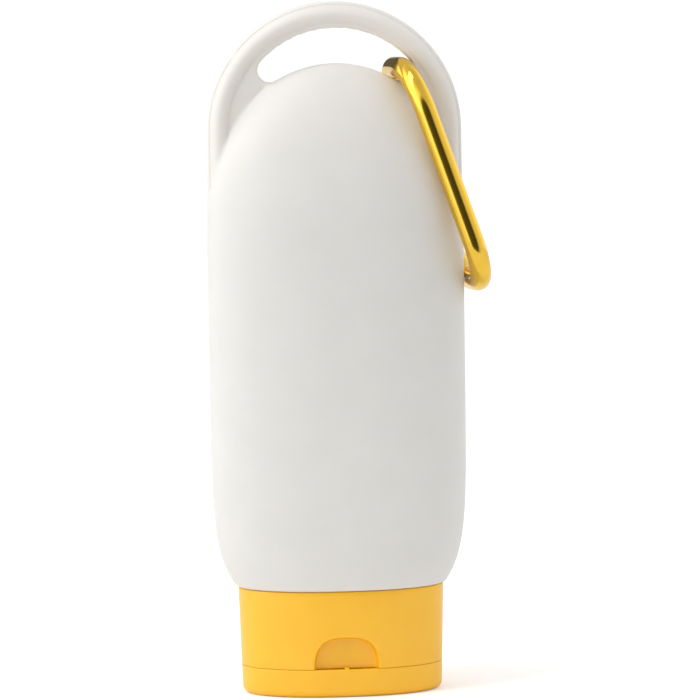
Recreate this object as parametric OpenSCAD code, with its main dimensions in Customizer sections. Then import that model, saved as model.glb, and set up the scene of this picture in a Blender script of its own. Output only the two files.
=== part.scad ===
// Oval squeeze bottle that stands on its flip-top closure, with a wire clip in its handle loop.
// The origin is in the middle of the standing face, the thumb recess looks along -Y and +Z is up.

/* [Bottle] */
// Width of the bottle's body
body_w = 43.5; // [41:0.5:47]
// Depth of the bottle's body, front to back
body_d = 23.2; // [22.6:0.2:25]
// Height of the whole object, from the standing face to the top of the handle
total_h = 117; // [113:0.5:124]
// Wall of the blow moulding
wall = 1; // [0.8:0.1:1.3]
// How far the body draws in at its foot on each side, across its width
foot_inset = 3.95; // [3:0.05:5]
// How far the body draws in at its foot, front and back
foot_inset_d = 1; // [0.5:0.05:1.6]
// Height over which the draw-in at the foot dies away
foot_fall = 5.3; // [4:0.1:7]
// Squareness of the oval sections, where 2 is an ellipse
section_power = 2.2; // [2:0.05:2.6]
// Height of the dome, from where the sides start to close in
dome_h = 28.2; // [25:0.2:31]

/* [Handle] */
// Width of the handle's band, measured in the plane of the loop
band_w = 4.5; // [3.8:0.05:5]
// Thickness of the handle's band, front to back
band_t = 5; // [4:0.1:6]
// Thickness of the pressed web between the band and the dome
web_t = 2.6; // [2:0.1:3.2]
// Height of the crescent hole in its middle
hole_h = 5.95; // [5.5:0.05:6.8]
// Radius of the hole's two corners
hole_corner_r = 2.1; // [2.1:0.05:2.4]
// Direction of the hole's right corner, seen from the centre of the arch
hole_corner_angle = 43; // [40:0.5:44]
// How far the hole lies to the right of the middle of the bottle
hole_shift = 0.3; // [0:0.05:0.4]

/* [Neck] */
// Outer radius of the neck
neck_r = 7; // [6.4:0.1:7.2]
// Wall of the neck
neck_wall = 1.4; // [1:0.1:1.8]
// Height of the snap bead that stands out of the neck
bead_h = 0.5; // [0.3:0.05:0.6]
// Distance of the snap bead from the neck's rim
bead_from_rim = 5.5; // [4:0.1:6.5]
// Thickness of the sealing ring under the neck's rim
seal_t = 1.5; // [1:0.1:2]

/* [Closure] */
// Height of the closure with its lid shut
closure_h = 18.1; // [17:0.1:20]
// Height of the lid
lid_h = 4.7; // [4.4:0.1:5.4]
// Wall of the closure and its lid
closure_wall = 1.2; // [1:0.05:1.3]
// How far the closure's sides draw in from its top to its standing face
closure_taper = 0.5; // [0.2:0.05:0.8]
// Radius of the rounded edge at the standing face
lid_edge_r = 1.2; // [0.8:0.1:1.6]
// Gap of the seam between the lid and the closure
lid_gap = 0.15; // [0.1:0.05:0.3]
// Gap of the seam between the closure and the bottle
foot_gap = 0.1; // [0.05:0.05:0.3]
// Thickness of the closure's deck
deck_t = 1.4; // [1.1:0.1:1.8]
// Wall of the snap ring round the neck
ring_wall = 1.1; // [0.9:0.05:1.2]
// Clearance between the snap ring and the neck
ring_gap = 0.1; // [0.05:0.01:0.15]
// Radius of the nozzle's orifice
orifice_r = 2.3; // [2.1:0.05:2.6]
// Outer radius of the nozzle
nozzle_r = 4; // [3.8:0.1:4.6]
// How far the nozzle reaches into the lid
nozzle_len = 2.4; // [1.8:0.1:2.6]
// Clearance between the lid's plug and the orifice
plug_gap = 0.15; // [0.12:0.01:0.2]

/* [Thumb recess and hinge] */
// Width of the thumb recess at the lid
recess_w = 11; // [9:0.2:13]
// Width of the thumb recess at its top
recess_top_w = 9; // [7:0.2:10]
// Height of the thumb recess
recess_h = 5.6; // [4:0.1:7]
// Depth of the thumb recess
recess_depth = 1.5; // [1:0.1:1.6]
// Width of the film hinge
film_w = 11; // [8:0.5:13]
// Thickness of the film hinge
film_t = 0.4; // [0.3:0.05:0.5]
// Height of the film hinge
film_h = 3.4; // [3:0.1:4]

/* [Clip] */
// Diameter of the clip's wire
wire_d = 3.6; // [3.2:0.05:3.7]
// Overall length of the clip
clip_len = 42; // [41:0.5:46]
// Overall width of the clip
clip_w = 23.6; // [23.2:0.2:26]
// Radius of the clip's bends, at the middle of the wire
bend_r = 8; // [7:0.1:8.4]
// Angle by which the hanging clip leans out over the shoulder
clip_lean = 19.2; // [18.9:0.1:24]
// Angle by which the clip is turned about its own length
clip_yaw = 7; // [4:0.5:8.5]
// How far the clip's middle lies behind the middle of the bottle
clip_shift = 1.3; // [1:0.1:1.8]
// How far the wire's middle lies inward of the middle of the hole's corner
hook_in = 0.05; // [0:0.05:0.1]

/* [Gate] */
// Distance of the gate's pivot from the top of the clip, wire middles
pivot_s = 10.6; // [10.4:0.1:12]
// Distance of the latch pin from the pivot
latch_arm = 17; // [15.5:0.1:17.2]
// Thickness of the tongues at both ends of the frame
tongue_t = 1.2; // [1:0.05:1.4]
// Width of the tongues
tongue_w = 3; // [2.6:0.1:3.1]
// Clearance at each side of a tongue
tongue_gap = 0.12; // [0.08:0.01:0.2]
// Gap between the gate's ends and the frame's ends
gate_gap = 0.5; // [0.45:0.05:0.7]
// Radius of the pivot rivet
rivet_r = 0.6; // [0.5:0.05:0.7]
// Radius of the latch pin
latch_r = 0.5; // [0.4:0.05:0.55]
// Radial clearance of the rivet in the tongue
rivet_gap = 0.06; // [0.03:0.01:0.09]
// Clearance round the latch pin in its notch
notch_gap = 0.15; // [0.14:0.01:0.25]
// Radius of the bore for the spring
bore_r = 0.9; // [0.8:0.05:1]
// Clearance between the plunger and its bore
plunger_gap = 0.05; // [0.03:0.01:0.08]
// Length of the plunger
plunger_len = 3; // [2:0.1:4]
// Diameter of the spring's wire
spring_wire = 0.3; // [0.2:0.05:0.35]
// Distance between the spring's curls
spring_pitch = 0.78; // [0.75:0.01:1]
// Number of curls of the spring
spring_curls = 7; // [5:1:9]

/* [Hidden] */
$fn = 48;
oval_sides = 40;
eps = 0.01;

// Arch of the handle
arch_inset = 0.15;
arch_r = body_w / 2 - arch_inset;
arch_z = total_h - arch_r;
arch_in_r = arch_r - band_w;
band_edge_t = 1.2;
band_root = 0.15;
hole_low_z = arch_z + arch_in_r - hole_h;
corner_reach = arch_in_r - hole_corner_r;
corner_x = corner_reach * cos(hole_corner_angle);
corner_z = arch_z + corner_reach * sin(hole_corner_angle);
hole_low_angle = 29;
low_x = corner_x - hole_corner_r * sin(hole_low_angle);
low_z = corner_z - hole_corner_r * cos(hole_low_angle);

// Body and dome, inside and out
foot_z = closure_h + foot_gap;
foot_edge = 0.35;
dome_over = 0.65;
dome_spring = hole_low_z + dome_over - dome_h;
dome_wall_top = 2.6;
dome_rise_in = hole_low_z - dome_wall_top - dome_spring;
dome_end_angle = 88;
floor_t = 1.4;

// Closure and neck, counted up from the standing face
top_hw = body_w / 2 - foot_inset - foot_edge;
top_hd = body_d / 2 - foot_inset_d - foot_edge;
deck_z = lid_h + lid_gap;
seal_z = deck_z + deck_t;
rim_z = seal_z + seal_t;
bead_z = rim_z + bead_from_rim;
bead_root = 0.5;
bead_foot = 1;
bead_flat = 0.3;
neck_bore_r = neck_r - neck_wall;
ring_in_r = neck_r + ring_gap;
ring_past_bead = 2.2;
ring_top_z = bead_z + ring_past_bead;
lid_floor_t = 1.3;
nozzle_tip_z = deck_z - nozzle_len;
nozzle_draft = 0.5;
plug_r = orifice_r - plug_gap;
plug_straight = 1.5;
plug_tip = 1.2;
plug_tip_r = plug_r - 0.55;

// Film hinge at the back, on flats that are cut into the closure and the lid
hinge_z = lid_h + lid_gap / 2;
closure_hd = top_hd - closure_taper;
flat_depth = film_t + 0.05;
flat_y = closure_hd - flat_depth;
flat_side = 0.1;
hinge_y = flat_y + film_t / 2;

// Clip, in its own frame: the top of the wire's middle line is at zero and the length runs down
wire_r = wire_d / 2;
leg_y = (clip_w - wire_d) / 2;
run_len = clip_len - wire_d;
bend_y = leg_y - bend_r;
hook_x = hole_shift + corner_x - hook_in;
hook_z = corner_z;
clip_x = hook_x - clip_shift * sin(clip_yaw) * cos(clip_lean);
clip_z = hook_z - clip_shift * sin(clip_yaw) * sin(clip_lean);
latch_s = pivot_s + latch_arm;
tongue_past_pivot = 1.6;
slot_past_pivot = 2.35;
gate_past_pivot = 1.7;
gate_past_latch = 1.8;
gate_top_s = pivot_s - gate_past_pivot;
stub_top_s = gate_top_s - gate_gap;
gate_end_s = latch_s + gate_past_latch;
stub_end_s = gate_end_s + gate_gap;
nose_past_latch = 0.8;
nose_slot_past_latch = 1.2;
slot_hx = tongue_t / 2 + tongue_gap;
plunger_touch = 0.02;
plunger_s = pivot_s + tongue_past_pivot + plunger_touch;
spring_s = plunger_s + plunger_len;
spring_clear = 0.1;
spring_mid_r = bore_r - spring_clear - spring_wire / 2;
spring_len = spring_pitch * spring_curls + spring_wire;
bore_end_s = spring_s + spring_len + spring_clear;

plastic_white = [0.93, 0.93, 0.91];
plastic_yellow = [0.97, 0.74, 0.24];
gold = [0.93, 0.72, 0.2];
steel = [0.72, 0.73, 0.75];
seal_grey = [0.82, 0.82, 0.8];

// One oval ring of points
function oval(hw, hd) =
    [for (i = [0 : oval_sides - 1])
        let (a = 360 * i / oval_sides, c = cos(a), s = sin(a), q = 2 / section_power)
        [hw * sign(c) * pow(abs(c), q), hd * sign(s) * pow(abs(s), q)]];

// A solid through oval sections, each given as height, half width and half depth
module loft(sections) {
    n = oval_sides;
    m = len(sections);
    points = [for (q = sections) for (v = oval(q[1], q[2])) [v[0], v[1], q[0]]];
    sides = [for (k = [0 : m - 2]) for (i = [0 : n - 1]) let (j = (i + 1) % n)
        each [[k * n + i, (k + 1) * n + i, (k + 1) * n + j], [k * n + i, (k + 1) * n + j, k * n + j]]];
    ends = [[for (i = [0 : n - 1]) i], [for (i = [n - 1 : -1 : 0]) (m - 1) * n + i]];
    polyhedron(points, concat(sides, ends), convexity = 4);
}

// Half width and half depth of the body at a height below the dome
function body_hw(z) = body_w / 2 - foot_inset * exp(-(z - foot_z) / foot_fall);
function body_hd(z) = body_d / 2 - foot_inset_d * exp(-(z - foot_z) / foot_fall);
function body_steps(low) =
    concat([for (u = [0, 0.12, 0.27, 0.45, 0.7, 1, 1.4, 2, 3, 4.4]) low + u * foot_fall],
           [dome_spring]);

function body_sections() = concat(
    [[foot_z, body_hw(foot_z) - foot_edge, body_hd(foot_z) - foot_edge]],
    [for (z = body_steps(foot_z + foot_edge)) [z, body_hw(z), body_hd(z)]],
    [for (a = [12, 24, 35, 45, 54, 62, 69, 75, 81, dome_end_angle])
        [dome_spring + dome_h * sin(a), body_w / 2 * cos(a), body_d / 2 * cos(a)]]);

function cavity_sections() = concat(
    [for (z = body_steps(foot_z + floor_t)) [z, body_hw(z) - wall, body_hd(z) - wall]],
    [for (a = [15, 30, 43, 55, 66, 76, dome_end_angle])
        [dome_spring + dome_rise_in * sin(a),
         (body_w / 2 - wall) * cos(a), (body_d / 2 - wall) * cos(a)]]);

// Lower edge of the crescent hole
function hole_low(x) = hole_low_z - (hole_low_z - low_z) * pow(x / low_x, 2);

module hole_outline() {
    steps = 12;
    upper = [for (i = [0 : steps])
        let (a = hole_corner_angle + (180 - 2 * hole_corner_angle) * i / steps)
        [arch_in_r * cos(a), arch_z + arch_in_r * sin(a)]];
    left = [for (i = [1 : 7])
        let (a = 180 - hole_corner_angle + (90 + hole_corner_angle + hole_low_angle) * i / 8)
        [-corner_x + hole_corner_r * cos(a), corner_z + hole_corner_r * sin(a)]];
    lower = [for (i = [-steps : steps]) let (x = low_x * i / steps) [x, hole_low(x)]];
    right = [for (i = [1 : 7])
        let (a = -90 - hole_low_angle + (90 + hole_corner_angle + hole_low_angle) * i / 8)
        [corner_x + hole_corner_r * cos(a), corner_z + hole_corner_r * sin(a)]];
    polygon(concat(upper, left, lower, right));
}

// Turns a shape drawn across and up into a slab through the bottle
module through_depth(t) {
    rotate([90, 0, 0])
        linear_extrude(height = t, center = true) children();
}

// Half of the band's rounded section, drawn at its distance from the arch's centre
function band_half_t(u) =
    band_edge_t / 2 + (band_t - band_edge_t) / 2 * sqrt(max(0, 1 - pow(2 * u - 1, 2)));
module band_section() {
    r0 = arch_in_r - band_root;
    polygon(concat(
        [for (u = [0 : 0.125 : 1]) [r0 + (arch_r - r0) * u, band_half_t(u)]],
        [for (u = [1 : -0.125 : 0]) [r0 + (arch_r - r0) * u, -band_half_t(u)]]));
}

module handle() {
    leg = arch_z - dome_spring;
    translate([0, 0, arch_z]) rotate([90, 0, 0])
        rotate_extrude(angle = 180) band_section();
    for (side = [0, 180])
        translate([0, 0, arch_z - leg]) rotate([0, 0, side])
            linear_extrude(height = leg) band_section();
    through_depth(web_t) {
        translate([0, arch_z]) circle(r = arch_in_r + band_w / 2);
        translate([-arch_in_r, dome_spring]) square([2 * arch_in_r, leg]);
    }
}

module snap_bead(r, h) {
    rotate_extrude()
        polygon([[r - bead_root, bead_z - bead_foot], [r, bead_z - bead_foot],
                 [r + h, bead_z - bead_flat], [r + h, bead_z + bead_flat],
                 [r, bead_z + bead_foot], [r - bead_root, bead_z + bead_foot]]);
}

module bottle() {
    color(plastic_white)
        difference() {
            union() {
                loft(body_sections());
                handle();
                translate([0, 0, rim_z]) cylinder(h = foot_z + floor_t / 2 - rim_z, r = neck_r);
                snap_bead(neck_r, bead_h);
            }
            loft(cavity_sections());
            translate([0, 0, rim_z - 1]) cylinder(h = foot_z + floor_t + 2 - rim_z, r = neck_bore_r);
            through_depth(2 * body_d) translate([hole_shift, 0]) hole_outline();
        }
}

// Half width and half depth of the closure at a height
function closure_in(z) = closure_taper * (1 - z / closure_h);
function closure_section(z, inset) =
    [z, top_hw - closure_in(z) - inset, top_hd - closure_in(z) - inset];

module film_flat(z, h) {
    translate([-film_w / 2 - flat_side, flat_y, z]) cube([film_w + 2 * flat_side, body_d, h]);
}

module recess() {
    r = 2;
    base_z = deck_z - 1;
    translate([0, -closure_hd + recess_depth, 0]) rotate([90, 0, 0])
        linear_extrude(height = body_d)
            polygon(concat(
                [[-recess_w / 2, base_z], [recess_w / 2, base_z]],
                [for (a = [0 : 18 : 90])
                    [recess_top_w / 2 - r + r * cos(a), lid_h + recess_h - r + r * sin(a)]],
                [for (a = [90 : 18 : 180])
                    [-recess_top_w / 2 + r + r * cos(a), lid_h + recess_h - r + r * sin(a)]]));
}

module closure_base() {
    pad_w = recess_w + 2 * closure_wall;
    pad_y = -closure_hd + recess_depth;
    pad_inset = 0.3;
    color(plastic_yellow)
        difference() {
            union() {
                difference() {
                    loft([closure_section(deck_z, 0), closure_section(closure_h, 0)]);
                    loft([closure_section(seal_z, closure_wall),
                          closure_section(closure_h + 1, closure_wall)]);
                }
                intersection() {
                    loft([closure_section(deck_z, pad_inset), closure_section(closure_h, pad_inset)]);
                    translate([-pad_w / 2, pad_y - recess_depth, deck_z])
                        cube([pad_w, recess_depth + closure_wall, recess_h + closure_wall]);
                }
                translate([0, 0, deck_z + deck_t / 2])
                    cylinder(h = ring_top_z - deck_z - deck_t / 2, r = ring_in_r + ring_wall);
                translate([0, 0, nozzle_tip_z])
                    cylinder(h = nozzle_len + deck_t / 2, r1 = nozzle_r - nozzle_draft, r2 = nozzle_r);
            }
            translate([0, 0, seal_z]) cylinder(h = closure_h, r = ring_in_r);
            snap_bead(ring_in_r, bead_h);
            translate([0, 0, nozzle_tip_z - 1]) cylinder(h = closure_h, r = orifice_r);
            recess();
            film_flat(deck_z - 1, 1 + film_h / 2);
        }
}

module closure_lid() {
    side_hw = closure_section(lid_edge_r, 0);
    nub = [0.8, 0.6, 0.5];
    plug_root = 0.5;
    color(plastic_yellow) {
        difference() {
            loft(concat(
                [for (a = [0, 20, 40, 60, 80])
                    [lid_edge_r * (1 - cos(a)),
                     side_hw[1] - lid_edge_r * (1 - sin(a)), side_hw[2] - lid_edge_r * (1 - sin(a))]],
                [closure_section(lid_h, 0)]));
            loft([closure_section(lid_floor_t, closure_wall), closure_section(lid_h + 1, closure_wall)]);
            film_flat(lid_h - film_h / 2, film_h);
        }
        translate([0, 0, lid_floor_t - plug_root]) {
            cylinder(h = plug_straight + plug_root, r = plug_r);
            translate([0, 0, plug_straight + plug_root])
                cylinder(h = plug_tip, r1 = plug_r, r2 = plug_tip_r);
        }
        translate([-nub[0] / 2, -closure_hd + closure_wall - nub[1], lid_h - eps]) cube(nub);
    }
}

module hinge_film() {
    color(plastic_yellow)
        translate([-film_w / 2, flat_y, hinge_z - film_h / 2])
            cube([film_w, film_t, film_h]);
}

module neck_seal() {
    color(seal_grey)
        translate([0, 0, seal_z])
            difference() {
                cylinder(h = seal_t, r = neck_r);
                translate([0, 0, -1]) cylinder(h = seal_t + 2, r = neck_bore_r);
            }
}

// Places the clip's own frame in the handle's hole
module in_clip() {
    translate([clip_x, clip_shift, clip_z])
        rotate([0, -clip_lean, 0])
            rotate([0, 0, clip_yaw])
                children();
}

// A quarter bend of the wire, round a centre given across and down
module bend(y, s, from) {
    translate([0, y, -s]) rotate([90, 0, 90])
        rotate_extrude(angle = 90, start = from)
            translate([bend_r, 0]) circle(r = wire_r);
}

module rod_down(y, s0, s1, r) {
    translate([0, y, -s1]) cylinder(h = s1 - s0, r = r);
}

module rod_across(s, len, r) {
    translate([-len / 2, leg_y, -s]) rotate([0, 90, 0]) cylinder(h = len, r = r);
}

// A slab on the gate's side of the clip, from one distance down the clip to another
module slab(t, w, s0, s1) {
    translate([-t / 2, leg_y - w / 2, -s1]) cube([t, w, s1 - s0]);
}

module clip_frame() {
    low_s = run_len - bend_r;
    notch_r = latch_r + notch_gap;
    color(gold)
        in_clip()
            difference() {
                union() {
                    for (s = [0, run_len])
                        translate([0, bend_y, -s]) rotate([90, 0, 0])
                            cylinder(h = 2 * bend_y, r = wire_r);
                    bend(bend_y, bend_r, 0);
                    bend(-bend_y, bend_r, 90);
                    bend(-bend_y, low_s, 180);
                    bend(bend_y, low_s, 270);
                    rod_down(-leg_y, bend_r, low_s, wire_r);
                    rod_down(leg_y, bend_r, stub_top_s, wire_r);
                    rod_down(leg_y, stub_end_s, low_s, wire_r);
                    slab(tongue_t, tongue_w, stub_top_s - 0.4, pivot_s + tongue_past_pivot);
                    slab(tongue_t, tongue_w, latch_s - nose_past_latch, stub_end_s + 0.4);
                }
                rod_across(pivot_s, 2 * wire_d, rivet_r + rivet_gap);
                rod_across(latch_s, 2 * wire_d, notch_r);
                translate([-wire_d, leg_y - wire_d, -latch_s - notch_r])
                    cube([2 * wire_d, wire_d, 2 * notch_r]);
            }
}

module clip_gate() {
    color(gold)
        in_clip()
            difference() {
                rod_down(leg_y, gate_top_s, gate_end_s, wire_r);
                slab(2 * slot_hx, 2 * wire_d, gate_top_s - 1, pivot_s + slot_past_pivot);
                slab(2 * slot_hx, 2 * wire_d, latch_s - nose_slot_past_latch, gate_end_s + 1);
                rod_down(leg_y, pivot_s, bore_end_s, bore_r);
                rod_across(pivot_s, 2 * wire_d, rivet_r);
                rod_across(latch_s, 2 * wire_d, latch_r);
            }
}

module gate_rivet() {
    color(steel) in_clip() rod_across(pivot_s, wire_d - 0.1, rivet_r);
}

module gate_latch_pin() {
    color(steel) in_clip() rod_across(latch_s, wire_d - 0.1, latch_r);
}

module gate_plunger() {
    color(steel) in_clip() rod_down(leg_y, plunger_s, plunger_s + plunger_len, bore_r - plunger_gap);
}

// The spring is one tube of six sides, with eight rings in each curl
function spring_point(i) =
    let (a = 45 * i)
    [spring_mid_r * cos(a), leg_y + spring_mid_r * sin(a),
     -spring_s - spring_wire / 2 - spring_pitch * i / 8];
function spring_ring(i) =
    let (a = 45 * i, c = spring_point(i), out = [cos(a), sin(a), 0], up = [0, 0, 1])
    [for (k = [0 : 5]) c + spring_wire / 2 * (cos(60 * k) * out + sin(60 * k) * up)];

module gate_spring() {
    rings = 8 * spring_curls + 1;
    points = [for (i = [0 : rings - 1]) each spring_ring(i)];
    sides = [for (i = [0 : rings - 2]) for (k = [0 : 5]) let (j = (k + 1) % 6)
        each [[6 * i + k, 6 * i + 6 + j, 6 * i + 6 + k], [6 * i + k, 6 * i + j, 6 * i + 6 + j]]];
    ends = [[5, 4, 3, 2, 1, 0], [for (k = [0 : 5]) 6 * (rings - 1) + k]];
    gap = min([for (i = [0 : rings - 9]) for (j = [i + 6 : min(i + 10, rings - 1)])
        norm(spring_point(i) - spring_point(j))]) - spring_wire;
    echo(spring_gap = gap);
    color(steel) in_clip() polyhedron(points, concat(sides, ends), convexity = 8);
}

bottle();
closure_base();
closure_lid();
hinge_film();
neck_seal();
clip_frame();
clip_gate();
gate_rivet();
gate_latch_pin();
gate_spring();
gate_plunger();
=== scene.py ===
import math

import bmesh
import bpy
import numpy as np
from mathutils import Matrix, Vector


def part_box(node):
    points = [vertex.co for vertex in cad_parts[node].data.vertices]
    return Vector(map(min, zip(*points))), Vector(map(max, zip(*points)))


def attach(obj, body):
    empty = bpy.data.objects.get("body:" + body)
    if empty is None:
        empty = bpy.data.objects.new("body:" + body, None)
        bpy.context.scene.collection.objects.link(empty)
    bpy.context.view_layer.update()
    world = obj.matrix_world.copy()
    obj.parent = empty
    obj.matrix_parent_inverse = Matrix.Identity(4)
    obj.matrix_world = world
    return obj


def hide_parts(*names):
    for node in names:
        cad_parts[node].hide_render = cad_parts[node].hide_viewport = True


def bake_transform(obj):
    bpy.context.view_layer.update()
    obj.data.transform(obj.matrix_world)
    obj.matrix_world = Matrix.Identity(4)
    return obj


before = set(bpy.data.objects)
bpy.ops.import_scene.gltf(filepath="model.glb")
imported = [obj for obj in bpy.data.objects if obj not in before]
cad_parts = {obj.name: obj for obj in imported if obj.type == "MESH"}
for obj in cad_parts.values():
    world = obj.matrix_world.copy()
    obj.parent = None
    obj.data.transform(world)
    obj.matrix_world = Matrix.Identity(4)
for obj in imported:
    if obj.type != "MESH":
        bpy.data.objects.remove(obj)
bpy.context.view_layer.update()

mm = 0.001
frameBox = {name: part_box(name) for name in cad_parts}
print("frame loaded:", ", ".join(sorted(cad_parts)))


# Colours are linear and roughness is 0 to 1; mottle and grain are noise scales in waves per
# metre, grainHeight is in millimetres and glowScale in metres
finish = {
    "bottlePlastic": {"light": (0.787, 0.763, 0.727), "dark": (0.767, 0.743, 0.707),
                      "roughness": 0.52, "roughnessSpread": 0.08, "mottle": 160, "grain": 2600,
                      "grainHeight": 0.012, "glow": 0.55, "glowReach": (1.0, 0.82, 0.66),
                      "glowScale": 0.0022},
    "closurePlastic": {"light": (1.0, 0.54, 0.014), "dark": (0.985, 0.515, 0.01),
                       "roughness": 0.33, "roughnessSpread": 0.06, "mottle": 210, "grain": 3400,
                       "grainHeight": 0.01, "shine": 0.7, "glow": 0.12,
                       "glowReach": (1.0, 0.5, 0.08), "glowScale": 0.0015},
    "clipMetal": {"light": (0.9, 0.575, 0.075), "dark": (0.86, 0.54, 0.06),
                  "roughness": 0.13, "roughnessSpread": 0.05, "mottle": 420, "grain": 5200,
                  "grainHeight": 0.004, "metal": 1.0},
    "pinSteel": {"light": (0.66, 0.66, 0.67), "dark": (0.5, 0.5, 0.51),
                 "roughness": 0.3, "roughnessSpread": 0.12, "mottle": 900, "grain": 7000,
                 "grainHeight": 0.01, "metal": 1.0},
    "sealFoam": {"light": (0.62, 0.62, 0.6), "dark": (0.5, 0.5, 0.49),
                 "roughness": 0.85, "roughnessSpread": 0.08, "mottle": 800, "grain": 3000,
                 "grainHeight": 0.12},
}


def makeFinish(name):
    f = finish[name]
    material = bpy.data.materials.new(name)
    material.use_nodes = True
    nodes, links = material.node_tree.nodes, material.node_tree.links
    shader = nodes["Principled BSDF"]
    place = nodes.new("ShaderNodeTexCoord")

    def noise(scale, detail, roughness=0.5):
        n = nodes.new("ShaderNodeTexNoise")
        n.inputs["Scale"].default_value = scale
        n.inputs["Detail"].default_value = detail
        n.inputs["Roughness"].default_value = roughness
        links.new(place.outputs["Object"], n.inputs["Vector"])
        return n.outputs["Fac"]

    def ramp(fac, low, high, colours):
        r = nodes.new("ShaderNodeValToRGB")
        r.color_ramp.elements[0].position, r.color_ramp.elements[1].position = low, high
        r.color_ramp.elements[0].color = (*colours[0], 1)
        r.color_ramp.elements[1].color = (*colours[1], 1)
        links.new(fac, r.inputs["Fac"])
        return r.outputs["Color"]

    cloud = noise(f["mottle"], 3)
    links.new(ramp(cloud, 0.3, 0.7, (f["dark"], f["light"])), shader.inputs["Base Color"])
    spread = nodes.new("ShaderNodeMapRange")
    spread.inputs["To Min"].default_value = f["roughness"] - f["roughnessSpread"] / 2
    spread.inputs["To Max"].default_value = f["roughness"] + f["roughnessSpread"] / 2
    links.new(noise(f["mottle"] * 3, 2), spread.inputs["Value"])
    links.new(spread.outputs["Result"], shader.inputs["Roughness"])
    bump = nodes.new("ShaderNodeBump")
    bump.inputs["Strength"].default_value = 1.0
    bump.inputs["Distance"].default_value = f["grainHeight"] * mm
    links.new(noise(f["grain"], 3, 0.6), bump.inputs["Height"])
    links.new(bump.outputs["Normal"], shader.inputs["Normal"])
    shader.inputs["Metallic"].default_value = f.get("metal", 0.0)
    shader.inputs["Specular IOR Level"].default_value = f.get("shine", 0.5)
    if "glow" in f:
        shader.inputs["Subsurface Weight"].default_value = f["glow"]
        shader.inputs["Subsurface Radius"].default_value = f["glowReach"]
        shader.inputs["Subsurface Scale"].default_value = f["glowScale"]
    return material


finishes = {name: makeFinish(name) for name in finish}
print("finishes made:", len(finishes))


def addObject(name, data):
    made = bpy.data.objects.new(name, data)
    bpy.context.scene.collection.objects.link(made)
    return made


def settle(name, mesh, body, finishName, nodes, sharpAngle=35):
    # Gives a finished mesh its finish and its body, and hides the CAD nodes that it stands for
    mesh.materials.clear()
    mesh.materials.append(finishes[finishName])
    for polygon in mesh.polygons:
        polygon.use_smooth = True
    mesh.set_sharp_from_angle(angle=math.radians(sharpAngle))
    piece = addObject(name, mesh)
    if body:
        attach(piece, body)
    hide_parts(*nodes)
    return piece


def weld(mesh, gap=0.0015):
    # Merges what coincides, drops faces with no area and turns all faces outwards
    work = bmesh.new()
    work.from_mesh(mesh)
    bmesh.ops.remove_doubles(work, verts=work.verts, dist=gap * mm)
    bmesh.ops.dissolve_degenerate(work, dist=gap * mm / 4, edges=work.edges)
    bmesh.ops.recalc_face_normals(work, faces=work.faces)
    work.to_mesh(mesh)
    work.free()
    return mesh


def gridFaces(rows, columns, start=0, ring=False, skipColumn=None, skip=None):
    # Quads of a grid whose points are numbered along each row
    faces = []
    for i in range(rows - 1):
        for j in range(columns if ring else columns - 1):
            if j == skipColumn or (skip and skip(i, j)):
                continue
            k = (j + 1) % columns
            faces.append((start + i * columns + j, start + i * columns + k,
                          start + (i + 1) * columns + k, start + (i + 1) * columns + j))
    return faces


def meshFrom(name, patches):
    # Each patch is an array of points in millimetres and its faces
    points, faces = [], []
    for patchPoints, patchFaces in patches:
        start = len(points)
        points.extend((np.asarray(patchPoints).reshape(-1, 3) * mm).tolist())
        faces.extend([tuple(start + v for v in f) for f in patchFaces])
    mesh = bpy.data.meshes.new(name)
    mesh.from_pydata(points, [], faces)
    return mesh


def smoothMax(a, b, k):
    h = np.clip(0.5 + 0.5 * (a - b) / k, 0, 1)
    return b + (a - b) * h + k * h * (1 - h)


def smoothStep(low, high, x):
    u = np.clip((x - low) / (high - low), 0, 1)
    return u * u * (3 - 2 * u)


def roundOff(u):
    return np.sqrt(np.clip(1 - (1 - np.clip(u, 0, 1)) ** 2, 0, 1))


def ovalPoint(angle, halfWidth, halfDepth, power):
    c, s = np.cos(angle), np.sin(angle)
    return (halfWidth * np.sign(c) * np.abs(c) ** (2 / power),
            halfDepth * np.sign(s) * np.abs(s) ** (2 / power))


# Bottle, in millimetres, with its overall sizes from the frame
bottleLow, bottleHigh = (v / mm for v in frameBox["bottle"])
bottleSize = {
    "width": bottleHigh.x - bottleLow.x, "depth": bottleHigh.y - bottleLow.y, "top": bottleHigh.z,
    "footZ": 18.2, "footInset": 3.95, "footInsetDepth": 1.0, "footFall": 5.3, "footEdge": 0.45,
    "squareness": 2.2, "domeSpring": 79.0, "domeHeight": 28.2,
    "archRadius": 21.6, "archZ": 95.4, "armLow": 76, "armHigh": 92, "rimLow": 72, "rimHigh": 84,
    "flangeHalf": 0.62, "ridgeMiddle": 2.1, "ridgeHalfWidth": 1.5, "ridgeHalf": 2.45,
    "webHalf": 1.85, "webStart": 1.0, "webFull": 3.4, "edgeRound": 0.45, "bandBlend": 1.3,
    "domeBlend": 1.6,
    "holeInner": 17.1, "holeCorner": 2.1, "holeCornerAngle": 43, "holeLowZ": 106.55,
    "holeLowAngle": 29, "holeShift": 0.3, "shiftFade": 4, "shiftRise": 6, "holeEdge": 0.5,
    "trimWaver": 0.07, "trimStart": 45, "trimFull": 60,
    "wall": 1.0, "floor": 1.4, "domeWall": 2.6, "neckRadius": 7.0, "neckBore": 5.6, "neckRim": 7.75,
    "beadZ": 13.25, "beadHeight": 0.5,
}


def bottleHalf(z):
    # Half width and half depth of the body and its dome at a height
    b = bottleSize
    fall = np.exp(-(z - b["footZ"]) / b["footFall"])
    rise = np.clip((z - b["domeSpring"]) / b["domeHeight"], 0, 0.99999)
    edge = b["footEdge"] * (1 - roundOff((z - b["footZ"]) / b["footEdge"]))
    width = (b["width"] / 2 - b["footInset"] * fall - edge) * np.sqrt(1 - rise ** 2)
    depth = (b["depth"] / 2 - b["footInsetDepth"] * fall - edge) * np.sqrt(1 - rise ** 2)
    return width, depth


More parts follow.
